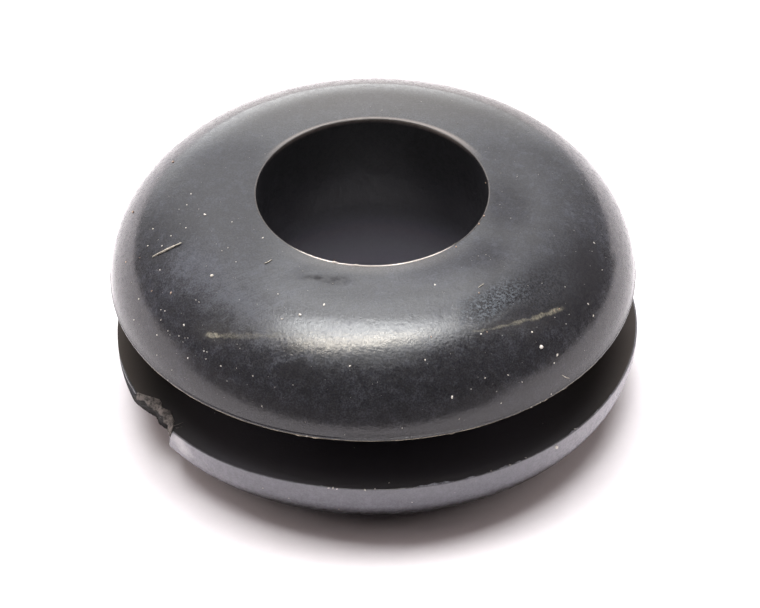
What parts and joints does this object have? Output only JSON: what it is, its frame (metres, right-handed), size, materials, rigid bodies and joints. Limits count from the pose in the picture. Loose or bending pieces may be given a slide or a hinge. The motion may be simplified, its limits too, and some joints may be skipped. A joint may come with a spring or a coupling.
{
  "type": "rubber grommet",
  "caption": "Black moulded rubber grommet: two half-round flanges with a groove between them line a round panel hole, and a cable passes through its bore.",
  "frame": {"origin": "centre of the bore on the flat face of the shallow flange, which the part rests on", "axes": "+Z along the bore's axis, from the shallow lower flange towards the deep upper flange; the torn place in the lower rim lies towards -X and -Y"},
  "size_m": [0.0142, 0.0142, 0.0064],
  "materials": {
    "rubber": "satin black moulded rubber, dusty, with a faint bluish bloom"
  },
  "bodies": {
    "root": {"grommet": "rubber"}
  },
  "joints": []
}
